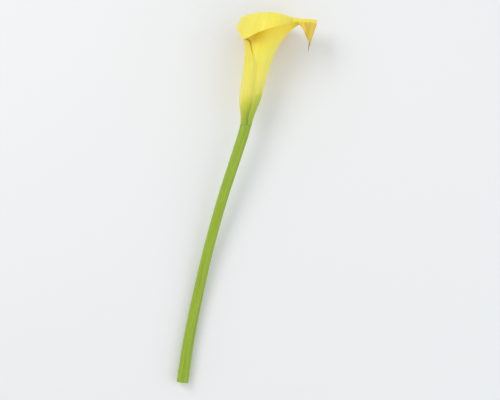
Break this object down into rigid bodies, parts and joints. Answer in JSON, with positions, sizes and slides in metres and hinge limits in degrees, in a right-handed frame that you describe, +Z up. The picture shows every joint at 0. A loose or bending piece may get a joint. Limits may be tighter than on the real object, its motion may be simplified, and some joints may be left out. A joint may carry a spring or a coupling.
{
  "type": "arum lily flower",
  "caption": "Cut arum lily flower lying on its side: fleshy stem, yellow rolled spathe with a turned-out rim and hooked tip, and a finger-shaped spadix inside.",
  "frame": {"origin": "bottom centre of the bounding box, on the surface that the flower lies on", "axes": "+Y from the cut end of the stem to the bloom, +Z up, the hooked tip of the spathe to +X"},
  "size_m": [0.0862, 0.2248, 0.0394],
  "materials": {
    "stem": "smooth fleshy lime green plant stem with faint lengthwise lines, satin",
    "spathe": "lemon yellow petal tissue with fine lengthwise veins, green at the foot and the point, satin",
    "spadix": "golden yellow florets with powdery pollen, matte"
  },
  "bodies": {
    "root": {"stem": "stem", "spathe": "spathe", "spadix": "spadix"}
  },
  "joints": []
}
